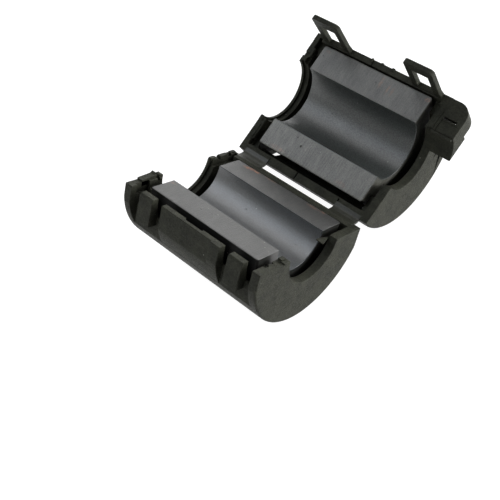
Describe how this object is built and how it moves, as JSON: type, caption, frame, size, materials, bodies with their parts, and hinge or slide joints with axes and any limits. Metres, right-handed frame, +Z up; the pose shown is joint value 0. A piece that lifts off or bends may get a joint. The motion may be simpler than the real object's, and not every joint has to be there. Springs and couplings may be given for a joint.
{
  "type": "clip-on ferrite bead",
  "caption": "Split ferrite core in a hinged plastic housing, standing open: it clips round a cable to suppress high-frequency noise.",
  "frame": {"origin": "on the bore axis of the base core, at the middle of the housing's length", "axes": "+X along the bore towards the end with the tie block, +Y from the base half towards the cover half, +Z up as the open clip stands on the round backs of its halves"},
  "size_m": [0.0408, 0.0638, 0.0316],
  "materials": {
    "housing": "fine matt moulded texture",
    "ferrite": "ground satin faces, fired satin bore"
  },
  "bodies": {
    "base": {"base_shell": "housing", "base_core": "ferrite", "hinge_strap_left": "housing", "hinge_strap_right": "housing"},
    "cover": {"cover_shell": "housing", "cover_core": "ferrite"},
    "loop_left": {"latch_loop_left": "housing"},
    "loop_right": {"latch_loop_right": "housing"}
  },
  "joints": [
    {"name": "hinge", "type": "hinge", "parent": "base", "child": "cover", "pos_m": [0, 0.01503, -0.00728], "axis": [1, 0, 0], "range_deg": [-52, 128], "deforming": ["hinge_strap_left", "hinge_strap_right", "latch_loop_left", "latch_loop_right"]},
    {"name": "loop_left_flex", "type": "hinge", "parent": "cover", "child": "loop_left", "pos_m": [-0.01185, 0.04357, 0.00631], "axis": [-1, 0, 0], "range_deg": [0, 19], "stiffness_Nm_per_rad": 0.2},
    {"name": "loop_right_flex", "type": "hinge", "parent": "cover", "child": "loop_right", "pos_m": [0.01185, 0.04357, 0.00631], "axis": [-1, 0, 0], "range_deg": [0, 19], "stiffness_Nm_per_rad": 0.2}
  ]
}
